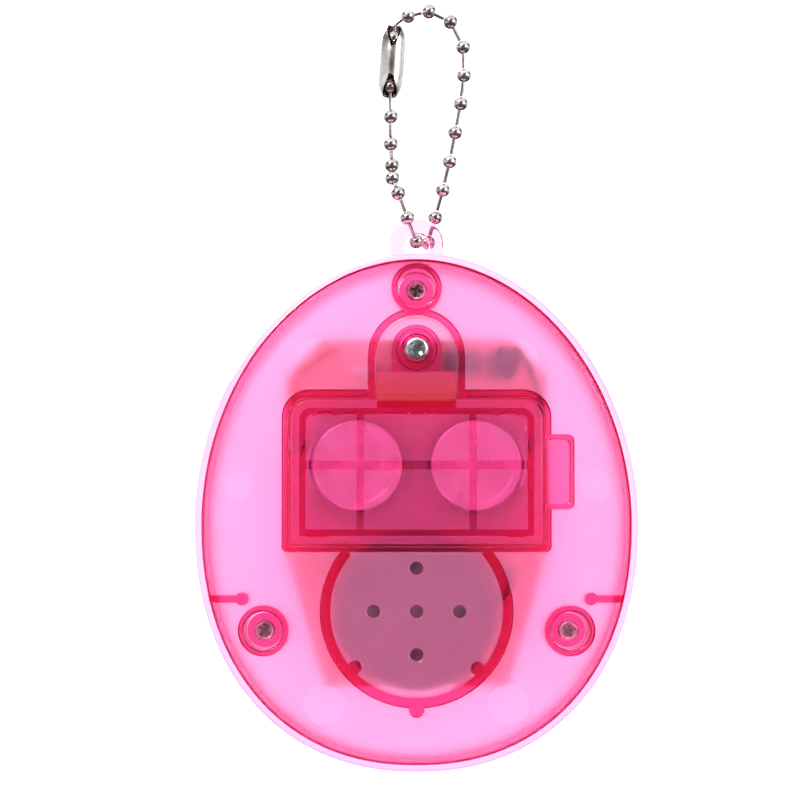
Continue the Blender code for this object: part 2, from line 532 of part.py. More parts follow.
# ---- joints: each moving group hangs on an empty whose origin is on its joint's axis ----
JOINTS = {                     # empty: (parent empty, origin, the pieces that move with it)
    "hook_axis": (None, (0, 0, -EGG_Z), ["chain_connector", "chain_end_ball_upper", "chain_end_ball_lower"] + ["chain_ball_%02d" % k for k in range(1, 6)]),
    "chain_fold_1_axis": ("hook_axis", "chain_ball_18", ["chain_ball_18", "chain_ball_06"]),
    "chain_fold_2_axis": ("chain_fold_1_axis", "chain_ball_17", ["chain_ball_17", "chain_ball_07"]),
    "chain_fold_3_axis": ("chain_fold_2_axis", "chain_ball_16", ["chain_ball_16", "chain_ball_15", "chain_ball_08"]),
    "chain_fold_4_axis": ("chain_fold_3_axis", "chain_ball_14", ["chain_ball_14", "chain_ball_09"]),
    "chain_fold_5_axis": ("chain_fold_4_axis", "chain_ball_13", ["chain_ball_13", "chain_ball_10", "chain_ball_11"]),
    "lug_swing_axis": ("chain_fold_5_axis", LUG_PIVOT, ["chain_ball_12"]),
    "case_tilt_axis": ("lug_swing_axis", LUG_PIVOT, None),
    "door_hinge_axis": ("case_tilt_axis", (0, *DOOR_HINGE), ["battery_door"]),
    "door_screw_axis": ("door_hinge_axis", (DOOR_SCREW[0], 6.3, DOOR_SCREW[1]), ["door_screw"]),
    "button_left_axis": ("case_tilt_axis", (BUTTONS["button_left"][0], -6.2, BUTTONS["button_left"][1]), ["button_left"]),
    "button_middle_axis": ("case_tilt_axis", (BUTTONS["button_middle"][0], -6.2, BUTTONS["button_middle"][1]), ["button_middle"]),
    "button_right_axis": ("case_tilt_axis", (BUTTONS["button_right"][0], -6.2, BUTTONS["button_right"][1]), ["button_right"]),
}
pieces = [o for o in bpy.data.objects if o.type in {"MESH", "CURVE"}]
claimed = {n for _, _, names in JOINTS.values() if names for n in names}
empties = {}
for axis_name, (parent, origin, names) in JOINTS.items():
    where = at(*(chain_point(*CHAIN[origin]) if isinstance(origin, str) else origin))
    empty = bpy.data.objects.new(axis_name, None)
    bpy.context.scene.collection.objects.link(empty)
    empty.empty_display_size = 0.004
    empties[axis_name] = (empty, where)
    if parent:
        empty.parent = empties[parent][0]
        empty.location = where - empties[parent][1]
    else:
        empty.location = where
    for piece in pieces:
        if (names and piece.name in names) or (names is None and piece.name not in claimed):
            piece.data.transform(Matrix.Translation(-where))
            piece.parent = empty
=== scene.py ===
"""Looks of the virtual pet keychain: clear pink shells over the works, and a nickel ball chain."""

import json
import math

import bmesh
import bpy
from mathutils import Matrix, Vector

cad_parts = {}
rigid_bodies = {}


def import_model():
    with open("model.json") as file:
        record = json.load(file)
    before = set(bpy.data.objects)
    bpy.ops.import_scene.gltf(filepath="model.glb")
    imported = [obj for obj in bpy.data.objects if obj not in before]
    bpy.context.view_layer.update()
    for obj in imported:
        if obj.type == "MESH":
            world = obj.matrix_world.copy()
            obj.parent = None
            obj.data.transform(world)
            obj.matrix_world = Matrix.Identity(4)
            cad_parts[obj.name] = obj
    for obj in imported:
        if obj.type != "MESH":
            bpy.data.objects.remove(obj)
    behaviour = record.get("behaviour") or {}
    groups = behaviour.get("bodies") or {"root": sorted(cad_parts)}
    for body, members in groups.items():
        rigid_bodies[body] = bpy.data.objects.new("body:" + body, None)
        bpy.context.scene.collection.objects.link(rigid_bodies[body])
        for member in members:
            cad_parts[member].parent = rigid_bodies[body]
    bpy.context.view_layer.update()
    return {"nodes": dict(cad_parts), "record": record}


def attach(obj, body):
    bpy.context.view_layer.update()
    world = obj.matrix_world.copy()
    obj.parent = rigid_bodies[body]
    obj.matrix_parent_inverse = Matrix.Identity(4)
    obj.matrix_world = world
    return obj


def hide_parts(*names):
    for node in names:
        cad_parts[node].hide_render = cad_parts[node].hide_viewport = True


for old in list(bpy.data.objects):
    bpy.data.objects.remove(old, do_unlink=True)
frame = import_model()
scene = bpy.context.scene
MM = 0.001
EGG_Z = -64.24

# ------------------------------------------------------------------ camera
cam_data = bpy.data.cameras.new("camera")
cam = bpy.data.objects.new("camera", cam_data)
scene.collection.objects.link(cam)
cam_data.lens, cam_data.sensor_width = 145.2, 36.0
cam_data.clip_start, cam_data.clip_end = 0.01, 20.0
target = Vector((0.00206, 0.0086, -0.04911))
tilt = math.radians(-3.0)
away = Vector((0.0, math.cos(tilt), math.sin(tilt))).normalized()
cam.location = target + away * 0.400
cam.rotation_mode = "QUATERNION"
cam.rotation_quaternion = (-away).to_track_quat("-Z", "Y")
scene.camera = cam
scene.view_settings.view_transform = "Standard"

# ------------------------------------------------------------------ dimensions, as in the CAD model
HALF_WIDTH, TOP_H, TOP_N, LOW_H, LOW_N = 27.56, 33.6, 1.955, 30.88, 2.20
REAR_Y, WALL, SIDE, SEAM, FRONT_EDGE, FRONT_DOME = 8.6, 1.3, 1.0, -0.15, 2.6, 6.8
CASE_SCREWS = ((0.0, 29.16), (19.0, -13.44), (-19.0, -13.44))
GRILLE, GRILLE_PITCH = (0.0, -11.03), 5.34
CELL_R, CELL_H, CELL_X, CELL_Z, CELL_Y0 = 5.8, 5.4, 7.4, 7.1, 1.3
DOOR, DOOR_Y, DOOR_SCREW = (-15.6, 15.6, -2.7, 15.2), (7.4, 8.5), (0.0, 21.6)
LUG_HOLE, LUG_HOLE_R = (0.0, 35.05), 1.6
WINDOW_Z = 5.5
BUTTONS = {"button_left": (9.5, -15.0), "button_middle": (0.0, -17.6), "button_right": (-9.5, -15.0)}
PCB_Y = (-1.6, -0.6)
BALL_R = 0.9


# ------------------------------------------------------------------ materials
class Nodes:
    """A short way to write a node tree."""

    def __init__(self, name):
        self.m = bpy.data.materials.new(name)
        self.m.use_nodes = True
        self.t = self.m.node_tree
        self.p = self.t.nodes["Principled BSDF"]
        self.out = self.t.nodes["Material Output"]
        coord = self.t.nodes.new("ShaderNodeTexCoord")
        self.place = coord.outputs["Object"]

    def add(self, kind, **inputs):
        n = self.t.nodes.new(kind)
        for k, v in inputs.items():
            key = k.replace("_", " ")
            if hasattr(v, "is_output"):
                self.t.links.new(v, n.inputs[key])
            else:
                n.inputs[key].default_value = v
        return n

    def noise(self, scale, detail=3.0, rough=0.5, coords=None):
        n = self.add("ShaderNodeTexNoise", Scale=scale, Detail=detail, Roughness=rough)
        self.t.links.new(coords or self.place, n.inputs["Vector"])
        return n.outputs["Fac"]

    def ramp(self, fac, *stops):
        r = self.t.nodes.new("ShaderNodeValToRGB")
        self.t.links.new(fac, r.inputs["Fac"])
        e = r.color_ramp.elements
        while len(e) < len(stops):
            e.new(0.5)
        for k, (pos, col) in enumerate(stops):
            e[k].position = pos
            e[k].color = (*col, 1.0) if len(col) == 3 else col
        return r.outputs["Color"]

    def range(self, fac, lo, hi, f0=0.0, f1=1.0):
        r = self.t.nodes.new("ShaderNodeMapRange")
        self.t.links.new(fac, r.inputs["Value"])
        r.inputs["From Min"].default_value, r.inputs["From Max"].default_value = f0, f1
        r.inputs["To Min"].default_value, r.inputs["To Max"].default_value = lo, hi
        return r.outputs["Result"]

    def bump(self, height, strength, distance):
        b = self.add("ShaderNodeBump", Strength=strength, Distance=distance)
        self.t.links.new(height, b.inputs["Height"])
        self.t.links.new(b.outputs["Normal"], self.p.inputs["Normal"])

    def set(self, **values):
        for k, v in values.items():
            key = k.replace("_", " ")
            if hasattr(v, "is_output"):
                self.t.links.new(v, self.p.inputs[key])
            else:
                self.p.inputs[key].default_value = v


def lin(r, g, b):
    """sRGB 0-255 to the linear values that sockets take."""
    return tuple((c / 255 / 12.92) if c <= 10 else ((c / 255 + 0.055) / 1.055) ** 2.4 for c in (r, g, b))


def clear_pink(name, tint, absorb, density, polished, frosted, haze):
    """Clear tinted plastic whose colour deepens with thickness. The faces marked frost carry the fine texture of the mould's core side."""
    n = Nodes(name)
    frost = n.t.nodes.new("ShaderNodeAttribute")
    frost.attribute_name = "frost"
    wear = n.noise(420.0, 4.0)
    mix = n.t.nodes.new("ShaderNodeMix")
    n.t.links.new(frost.outputs["Fac"], mix.inputs["Factor"])
    n.t.links.new(n.range(wear, *polished, 0.3, 0.7), mix.inputs["A"])
    n.t.links.new(n.range(wear, *frosted, 0.3, 0.7), mix.inputs["B"])
    # faces marked rim get painted edge shade: a deeper pink colour (tone B) and less transmission than the rest of the
    # moulding
    rim = n.t.nodes.new("ShaderNodeAttribute")
    rim.attribute_name = "rim"
    clear = n.t.nodes.new("ShaderNodeMath")
    clear.operation = "MULTIPLY"
    n.t.links.new(n.range(frost.outputs["Fac"], 1.0, 1.0 - haze), clear.inputs[0])
    n.t.links.new(n.range(rim.outputs["Fac"], 1.0, 0.45), clear.inputs[1])
    tone = n.t.nodes.new("ShaderNodeMix")
    tone.data_type = "RGBA"
    n.t.links.new(rim.outputs["Fac"], tone.inputs["Factor"])
    n.t.links.new(n.ramp(n.noise(90.0), (0.3, tint), (0.7, tuple(min(1.0, c * 1.03) for c in tint))), tone.inputs["A"])
    tone.inputs["B"].default_value = (0.97, 0.48, 0.79, 1.0)
    n.set(Base_Color=tone.outputs["Result"],
          Roughness=mix.outputs["Result"], Transmission_Weight=clear.outputs[0], IOR=1.47)
    n.bump(n.noise(300.0, 3.0), 0.03, 0.00003)
    vol = n.add("ShaderNodeVolumeAbsorption", Color=(*absorb, 1.0), Density=density)
    n.t.links.new(vol.outputs["Volume"], n.out.inputs["Volume"])
    return n.m


shell_mat = clear_pink("clear_pink_shell", (1.0, 0.83, 0.94), (1.0, 0.0, 0.50), 300.0, (0.03, 0.08), (0.38, 0.48), 0.24)
door_mat = clear_pink("clear_pink_door", (1.0, 0.78, 0.90), (1.0, 0.0, 0.56), 700.0, (0.03, 0.08), (0.30, 0.40), 0.20)
# markers for the two sides of a moulding while it is being cut; settle() turns them into the frost attribute
shell_out, shell_in = bpy.data.materials.new("polished_side"), bpy.data.materials.new("core_side")
door_out, door_in, pin_side = shell_out, shell_in, bpy.data.materials.new("pin_side")
rim_side = bpy.data.materials.new("rim_side")      # the edge that runs round the outside, which carries painted edge shade


def settle(obj, mat):
    """One material over the whole moulding, with the core side marked as frosted."""
    sides = [m.name if m else "" for m in obj.data.materials]
    index = [0] * len(obj.data.polygons)
    obj.data.polygons.foreach_get("material_index", index)
    frost = [1.0 if sides[i].startswith("core_side") else 0.8 if sides[i].startswith("pin_side") else 0.0 for i in index]
    obj.data.attributes.new("frost", "FLOAT", "FACE").data.foreach_set("value", frost)
    obj.data.attributes.new("rim", "FLOAT", "FACE").data.foreach_set("value", [1.0 if sides[i].startswith("rim_side") else 0.0 for i in index])
    obj.data.polygons.foreach_set("material_index", [0] * len(index))
    obj.data.materials.clear()
    obj.data.materials.append(mat)
    return obj


def metal(name, dark, bright, rough, scratch=0.15, anis=0.0):
    n = Nodes(name)
    n.set(Base_Color=n.ramp(n.noise(500.0, 5.0), (0.35, dark), (0.6, bright)), Metallic=1.0,
          Roughness=n.range(n.noise(900.0, 4.0), rough * 0.7, rough * 1.5, 0.3, 0.7))
    n.bump(n.noise(1500.0, 4.0), scratch, 0.00002)
    return n.m


nickel = metal("nickel_plate", lin(150, 143, 138), lin(198, 190, 186), 0.16)
ball_metal = metal("bead_nickel", lin(176, 164, 162), lin(226, 216, 212), 0.12)
clasp_metal = metal("clasp_nickel", lin(204, 196, 190), lin(244, 238, 234), 0.2)
screw_nickel = metal("door_screw_zinc", lin(190, 194, 196), lin(238, 240, 240), 0.20, 0.3)
# the steel's grey is its own; the pink cast and the extra brightness are painted reflection of the pink plastic and
# painted light
steel_painted_pink_reflection = metal("case_screw_steel", lin(176, 152, 156), lin(232, 212, 212), 0.28, 0.3)
cell_steel = metal("cell_can_steel", lin(176, 166, 168), lin(196, 186, 188), 0.34, 0.08)
# sounder plate colour darkened and tinted: painted shade standing in for the shadow on the disc deep inside the case
sounder_metal_painted_shade = metal("sounder_plate", lin(84, 66, 72), lin(112, 92, 98), 0.42, 0.08)


def plastic(name, a, b, rough=0.35, scale=300.0, grain=0.15, coat=0.0):
    n = Nodes(name)
    n.set(Base_Color=n.ramp(n.noise(scale), (0.3, a), (0.7, b)), Roughness=n.range(n.noise(scale * 3), rough * 0.85, rough * 1.2, 0.3, 0.7),
          Coat_Weight=coat)
    n.bump(n.noise(1600.0, 3.0), grain, 0.00003)
    return n.m


bezel_mat = plastic("bezel_white", lin(164, 164, 169), lin(172, 172, 177), 0.28, coat=0.3)
carrier_mat = plastic("carrier_white", lin(176, 174, 170), lin(188, 186, 182), 0.5)
silicone = plastic("silicone_grey", lin(150, 150, 152), lin(166, 166, 168), 0.62, grain=0.3)
epoxy = plastic("epoxy_black", lin(18, 18, 20), lin(34, 33, 34), 0.32)
button_mat = plastic("button_yellow", lin(180, 140, 28), lin(188, 150, 42), 0.26, coat=0.4)
red_pvc = plastic("wire_red", lin(196, 22, 26), lin(214, 34, 34), 0.42)
black_pvc = plastic("wire_black", lin(16, 16, 17), lin(34, 34, 36), 0.42)
ceramic = plastic("silvered_ceramic", lin(150, 140, 140), lin(170, 160, 158), 0.38, 500.0, 0.25)


def board_material():
    """Paper-phenolic board, brown in itself, with a fine fibre mottle set far lighter and pinker than brown as painted
    light making up for light lost inside the case, and a few paler straight tracks under the mask.
    """
    n = Nodes("circuit_board_mask")
    sep = n.add("ShaderNodeSeparateXYZ", Vector=n.place)
    lines = None
    for axis, pitch, width in (("X", 0.0021, 0.00022), ("Z", 0.0034, 0.00026)):
        m = n.t.nodes.new("ShaderNodeMath"); m.operation = "PINGPONG"; m.inputs[1].default_value = pitch
        n.t.links.new(sep.outputs[axis], m.inputs[0])
        g = n.t.nodes.new("ShaderNodeMath"); g.operation = "LESS_THAN"; g.inputs[1].default_value = width
        n.t.links.new(m.outputs[0], g.inputs[0])
        if lines is None:
            lines = g.outputs[0]
        else:
            both = n.t.nodes.new("ShaderNodeMath"); both.operation = "MAXIMUM"
            n.t.links.new(lines, both.inputs[0]); n.t.links.new(g.outputs[0], both.inputs[1])
            lines = both.outputs[0]
    gate = n.t.nodes.new("ShaderNodeMath"); gate.operation = "GREATER_THAN"; gate.inputs[1].default_value = 0.52
    n.t.links.new(n.noise(210.0, 1.0), gate.inputs[0])
    tracks = n.t.nodes.new("ShaderNodeMath"); tracks.operation = "MULTIPLY"
    n.t.links.new(lines, tracks.inputs[0]); n.t.links.new(gate.outputs[0], tracks.inputs[1])
    mix = n.t.nodes.new("ShaderNodeMix"); mix.data_type = "RGBA"
    n.t.links.new(tracks.outputs[0], mix.inputs["Factor"])
    # the mottle varies at random, but its pale pink level is painted light: far above the brown board, it stands in for
    # light lost inside the case
    n.t.links.new(n.ramp(n.noise(900.0, 5.0), (0.3, lin(244, 150, 156)), (0.7, lin(255, 168, 170))), mix.inputs["A"])
    mix.inputs["B"].default_value = (*lin(250, 200, 194), 1)
    n.set(Base_Color=mix.outputs["Result"], Roughness=n.range(n.noise(500.0), 0.38, 0.5, 0.3, 0.7))
    n.bump(tracks.outputs[0], 0.2, 0.00004)
    return n.m


def lcd_material():
    """Grey-green glass with a faint lattice of dots, unlit."""
    n = Nodes("lcd_glass")
    sep = n.add("ShaderNodeSeparateXYZ", Vector=n.place)
    grid = None
    for axis in ("X", "Z"):
        m = n.t.nodes.new("ShaderNodeMath"); m.operation = "PINGPONG"; m.inputs[1].default_value = 0.0003
        n.t.links.new(sep.outputs[axis], m.inputs[0])
        g = n.t.nodes.new("ShaderNodeMath"); g.operation = "GREATER_THAN"; g.inputs[1].default_value = 0.00005
        n.t.links.new(m.outputs[0], g.inputs[0])
        if grid is None:
            grid = g.outputs[0]
        else:
            both = n.t.nodes.new("ShaderNodeMath"); both.operation = "MULTIPLY"
            n.t.links.new(grid, both.inputs[0]); n.t.links.new(g.outputs[0], both.inputs[1])
            grid = both.outputs[0]
    n.set(Base_Color=n.ramp(grid, (0.0, lin(132, 142, 118)), (1.0, lin(120, 132, 106))), Roughness=n.range(n.noise(700.0), 0.16, 0.24, 0.3, 0.7), Coat_Weight=0.5)
    return n.m


board_mat, lcd_mat = board_material(), lcd_material()


def lens_material():
    n = Nodes("clear_window")
    n.set(Base_Color=n.ramp(n.noise(60.0), (0.3, (0.97, 0.99, 1.0)), (0.7, (1.0, 1.0, 1.0))), Roughness=n.range(n.noise(500.0), 0.01, 0.05, 0.3, 0.7),
          Transmission_Weight=1.0, IOR=1.49)
    n.bump(n.noise(200.0), 0.05, 0.00002)
    return n.m


lens_mat = lens_material()


# ------------------------------------------------------------------ mesh tools
def at(x, y, zb):
    return Vector((x * MM, y * MM, (zb + EGG_Z) * MM))


def finish_mesh(obj, angle=32.0):
    obj.data.shade_smooth()
    obj.data.set_sharp_from_angle(angle=math.radians(angle))
    return obj


def weighted(obj):
    m = obj.modifiers.new("even_faces", "WEIGHTED_NORMAL")
    m.keep_sharp = True
    m.weight = 90
    return obj


def mesh_object(name, points, faces, *mats):
    mesh = bpy.data.meshes.new(name)
    mesh.from_pydata([tuple(p) for p in points], [], faces)
    bm = bmesh.new()
    bm.from_mesh(mesh)
    bmesh.ops.recalc_face_normals(bm, faces=bm.faces)
    bm.to_mesh(mesh)
    bm.free()
    obj = bpy.data.objects.new(name, mesh)
    scene.collection.objects.link(obj)
    for m in mats:
        mesh.materials.append(m)
    return obj


def rings_object(name, rings, *mats, closed=False):
    n = len(rings[0])
    points = [p for ring in rings for p in ring]
    faces = []
    steps = len(rings) if closed else len(rings) - 1
    for k in range(steps):
        a, b = k * n, ((k + 1) % len(rings)) * n
        for i in range(n):
            j = (i + 1) % n
            faces.append((a + i, a + j, b + j, b + i))
    if not closed:
        faces.append(tuple(range(n)))
        faces.append(tuple((len(rings) - 1) * n + i for i in reversed(range(n))))
    return mesh_object(name, points, faces, *mats)


def boolean(target, tool, operation="DIFFERENCE"):
    mod = target.modifiers.new("cut", "BOOLEAN")
    mod.object, mod.operation, mod.solver = tool, operation, "EXACT"
    mod.material_mode = "TRANSFER"
    graph = bpy.context.evaluated_depsgraph_get()
    made = bpy.data.meshes.new_from_object(target.evaluated_get(graph))
    target.modifiers.clear()
    old = target.data
    target.data = made
    bpy.data.meshes.remove(old)
    bpy.data.objects.remove(tool, do_unlink=True)
    return target


def cut(target, *tools):
    for tool in tools:
        boolean(target, tool)
    return target


def join(target, *tools):
    for tool in tools:
        boolean(target, tool, "UNION")
    return target


def prism(name, outline, y0, y1, *mats):
    return rings_object(name, [[at(x, y, z) for x, z in outline] for y in (y0, y1)], *mats)


def loft(name, stations, *mats):
    """A solid through (outline, y) stations of equal point counts."""
    return rings_object(name, [[at(x, y, z) for x, z in o] for o, y in stations], *mats)


PHASE = 0.017          # keeps the corners of round cutters off those of their neighbours


def circle(x, z, r, n=40):
    return [(x + r * math.cos(PHASE * r + 2 * math.pi * i / n), z + r * math.sin(PHASE * r + 2 * math.pi * i / n)) for i in range(n)]


def cylinder(name, x, z, r, y0, y1, n=40, *mats):
    return prism(name, circle(x, z, r, n), y0, y1, *mats)


def turned(name, x, z, profile, n=48, *mats):
    return rings_object(name, [[at(x + r * math.cos(PHASE + 2 * math.pi * i / n), y, z + r * math.sin(PHASE + 2 * math.pi * i / n)) for i in range(n)] for r, y in profile], *mats)


def ring_turned(name, x, z, profile, n=48, *mats):
    """A closed profile of (radius, y) turned about an axis along Y."""
    return rings_object(name, [[at(x + r * math.cos(PHASE * 2 + 2 * math.pi * i / n), y, z + r * math.sin(PHASE * 2 + 2 * math.pi * i / n)) for i in range(n)] for r, y in profile], *mats, closed=True)


def rounded(x0, x1, z0, z1, r, n=9):
    radii = r if isinstance(r, tuple) else (r,) * 4
    corners = ((x1, z1, 0), (x0, z1, 90), (x0, z0, 180), (x1, z0, 270))
    out = []
    for (cx, cz, a0), rad in zip(corners, radii):
        mx = cx - math.copysign(rad, cx - (x0 + x1) / 2)
        mz = cz - math.copysign(rad, cz - (z0 + z1) / 2)
        for i in range(n + 1):
            a = math.radians(a0 + 90 * i / n)
            out.append((mx + rad * math.cos(a), mz + rad * math.sin(a)))
    return out


def grown(outline, d):
    """An outline moved out along its normals by d (in, if negative)."""
    out = []
    n = len(outline)
    for i, (x, z) in enumerate(outline):
        (xa, za), (xb, zb) = outline[i - 1], outline[(i + 1) % n]
        tx, tz = xb - xa, zb - za
        long = math.hypot(tx, tz) or 1.0
        out.append((x + d * tz / long, z - d * tx / long))
    return out


def box(name, x0, x1, y0, y1, z0, z1, *mats):
    return prism(name, [(x0, z0), (x1, z0), (x1, z1), (x0, z1)], y0, y1, *mats)


def arc_band(cx, cz, r0, r1, a0, a1, n):
    steps = [math.radians(a0 + (a1 - a0) * i / n) for i in range(n + 1)]
    return [(cx + r1 * math.cos(a), cz + r1 * math.sin(a)) for a in steps] + [(cx + r0 * math.cos(a), cz + r0 * math.sin(a)) for a in reversed(steps)]


def arch(r, cz, base, n=16):
    """A doorway outline: a half circle on top and straight sides down to base."""
    return [(r * math.cos(math.pi * i / n), cz + r * math.sin(math.pi * i / n)) for i in range(n + 1)] + [(-r, base), (r, base)]


EGG_SEGS = 144


def egg(inset=0.0, scale=1.0):
    points = []
    for i in range(EGG_SEGS):
        t = 2 * math.pi * (i + 0.5) / EGG_SEGS
        c, s = math.cos(t), math.sin(t)
        h, n = (TOP_H, TOP_N) if s >= 0 else (LOW_H, LOW_N)
        points.append((math.copysign(HALF_WIDTH * abs(c) ** (2 / n), c) * scale, math.copysign(h * abs(s) ** (2 / n), s) * scale))
    return grown(points, -inset) if inset else points


def egg_loft(name, stations, *mats):
    return rings_object(name, [[at(x, y, z) for x, z in egg(i, s)] for i, s, y in stations], *mats)


def flared(name, outline, y_floor, y_face, out, *mats, lip=0.28, floor_r=0.0):
    """A cutter for a recess whose mouth at y_face has a rounded edge of radius lip."""
    st = []
    if floor_r:
        st += [(grown(outline, -floor_r * (1 - math.sin(a))), y_floor + floor_r * (1 - math.cos(a))) for a in (0.0, 0.4, 0.8, 1.2)]
        st.append((outline, y_floor + floor_r))
    else:
        st.append((outline, y_floor))
    for k in range(5):
        a = math.pi / 2 * k / 4
        st.append((grown(outline, lip * (1 - math.cos(a))), y_face - lip + lip * math.sin(a)))
    st[-1] = (st[-1][0], y_face + 0.001)
    st.append((st[-1][0], out))
    return loft(name, st, *mats)


# ------------------------------------------------------------------ rear shell
def quarter(r_in, y0, y1, n=9):
    """Stations of a rounded edge from a straight side at y0 to a flat face at y1."""
    return [(r_in * (1 - math.cos(math.pi / 2 * k / n)), 1, y0 + (y1 - y0) * math.sin(math.pi / 2 * k / n)) for k in range(n + 1)]


def make_rear_shell():
    O, I = shell_out, shell_in
    shell = egg_loft("rear_shell_moulding", [(0.14, 1, 0.0), (0, 1, 0.16)] + quarter(1.1, 6.4, REAR_Y), O, rim_side)
    mark_painted_edge_shade(shell, 0.97)
    hollow = egg_loft("hollow", [(SIDE, 1, -1.0), (SIDE, 1, 5.6)] + [(SIDE + i, 1, y) for i, _, y in quarter(0.9, 5.6, REAR_Y - WALL)][1:], I)
    for x, z in CASE_SCREWS:
        cut(hollow, cylinder("k", x, z, 3.15, 1.1, 9.5, 48, I))
    gx, gz = GRILLE
    cut(hollow, prism("k", arc_band(gx, gz, 10.7, 12.0, 139, 401, 90), 1.5, 9.5, I))
    cut(hollow, cylinder("k", gx, gz - 12.2, 0.95, 1.45, 9.6, 28, I))
    for a in (-137, -42):
        cut(hollow, cylinder("k", gx + 10.3 * math.cos(math.radians(a)), gz + 10.3 * math.sin(math.radians(a)), 0.85, 2.4, 9.6, 28, I))
    cut(hollow, prism("k", rounded(-16.75, 16.75, -3.7, 16.5, (3.45, 3.45, 0.7, 0.7)), 2.2, 9.4, I))
    for x in (CELL_X, -CELL_X):
        cut(hollow, cylinder("k", x, CELL_Z, 6.9, -1.5, 2.6, 56, I))
    cut(hollow, prism("k", arch(6.06, 20.6, 15.0, 28), 2.7, 9.45, I))
    join(hollow, prism("k", arch(5.1, 20.6, 16.9, 28), 1.4, 3.6, I))
    cut(hollow, cylinder("k", *DOOR_SCREW, 2.1, 0.2, 4.0, 32, I))
    cut(hollow, prism("k", rounded(-19.6, -15.5, 1.6, 10.9, 0.8, 5), 2.6, 9.35, I))
    for side in (1, -1):
        cut(hollow, box("k", *sorted((side * 21.6, side * 28.5)), 1.3, 9.5, -9.95, -9.05, I), cylinder("k", side * 21.6, -9.5, 0.8, 1.35, 9.55, 28, I))
    # round witness marks of the ejector pins, sunk a little into the ceiling
    for x, z, r in ((12.5, 20.2, 2.8), (-12.5, 20.2, 2.8), (22.2, 4.6, 2.0), (-22.2, 4.6, 2.0), (11.4, -22.5, 2.7), (-11.4, -22.5, 2.7)):
        join(hollow, turned("k", x, z, [(r, 5.5), (r, REAR_Y - WALL + 0.12), (r - 0.1, REAR_Y - WALL + 0.16)], 40, pin_side))
    cut(shell, hollow)
    lug_z = 35.1
    o = [(3.45 * math.cos(math.radians(a)), lug_z + 3.45 * math.sin(math.radians(a))) for a in range(0, 181, 6)] + [(-3.45, 32.75), (3.45, 32.75)]
    r = 0.45
    st = [(grown(o, -r * (1 - math.sin(t))), 0.15 + r * (1 - math.cos(t))) for t in (0.0, 0.5, 1.05)] + [(o, 0.15 + r), (o, 2.15 - r)] + [(grown(o, -r * (1 - math.cos(t))), 2.15 - r + r * math.sin(t)) for t in (0.5, 1.05, 1.5708)]
    join(shell, loft("k", st, O))
    for x, z in CASE_SCREWS:
        cut(shell, flared("k", circle(x, z, 2.35, 48), 3.0, REAR_Y, 10.5, O, lip=0.35, floor_r=0.25), cylinder("k", x, z, 1.05, -2.0, 4.0, 28, O))
    x0, x1, z0, z1 = DOOR
    cut(shell, flared("k", rounded(x0 - 0.3, x1 + 0.3, z0 - 0.3, z1 + 0.3, (2.6, 2.6, 0.4, 0.4)), 7.3, REAR_Y, 10.0, O, lip=0.22))
    cut(shell, prism("k", rounded(x0 + 0.7, x1 - 0.7, z0 + 0.7, z1 - 0.7, (1.8, 1.8, 0.4, 0.4)), 3.0, 10.1, O))
    for x in (CELL_X, -CELL_X):
        cut(shell, cylinder("k", x, CELL_Z, 6.1, 0.85, 10.2, 64, O))
    cut(shell, flared("k", arch(5.1, 20.6, 13.9, 28), 4.4, REAR_Y, 10.3, O, lip=0.18))
    cut(shell, cylinder("k", *DOOR_SCREW, 1.15, 1.2, 5.0, 28, O))
    cut(shell, flared("k", rounded(-18.9, -14.5, 2.3, 10.2, 0.6, 5), 6.4, REAR_Y, 10.15, O, lip=0.25))
    for x, z in ((0, 0), (1, 0), (-1, 0), (0, 1), (0, -1)):
        cut(shell, flared("k", circle(gx + x * GRILLE_PITCH, gz + z * GRILLE_PITCH, 0.82, 28), 5.0, REAR_Y, 10.4, O, lip=0.28))
    hole = circle(*LUG_HOLE, LUG_HOLE_R, 36)
    cut(shell, loft("k", [(grown(hole, 0.3), -1.0), (grown(hole, 0.3), 0.15), (grown(hole, 0.1), 0.25), (hole, 0.45), (hole, 1.85), (grown(hole, 0.1), 2.05), (grown(hole, 0.3), 2.15), (grown(hole, 0.3), 4.0)], O))
    cut(shell, box("k", 12.6, 14.5, -0.9, 6.0, CELL_Z - 3.2, CELL_Z + 3.2, I), box("k", -14.5, -12.6, -0.95, 6.05, CELL_Z - 3.2, CELL_Z + 3.2, I), box("k", -1.6, -0.2, -0.97, 2.0, CELL_Z - 1.2, CELL_Z + 1.2, I))
    settle(shell, shell_mat)
    finish_mesh(shell)
    weighted(shell)
    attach(shell, "case")
    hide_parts("rear_shell")
    return shell


def mark_painted_edge_shade(obj, limit):
    """Marks the faces that look sideways for the painted edge shade: a deeper pink and less transmission."""
    for f in obj.data.polygons:
        if abs(f.normal.y) < limit:
            f.material_index = 1


def dome_y(share):
    return -(FRONT_EDGE + FRONT_DOME * math.sqrt(max(0.0, 1 - share ** 3.2)))


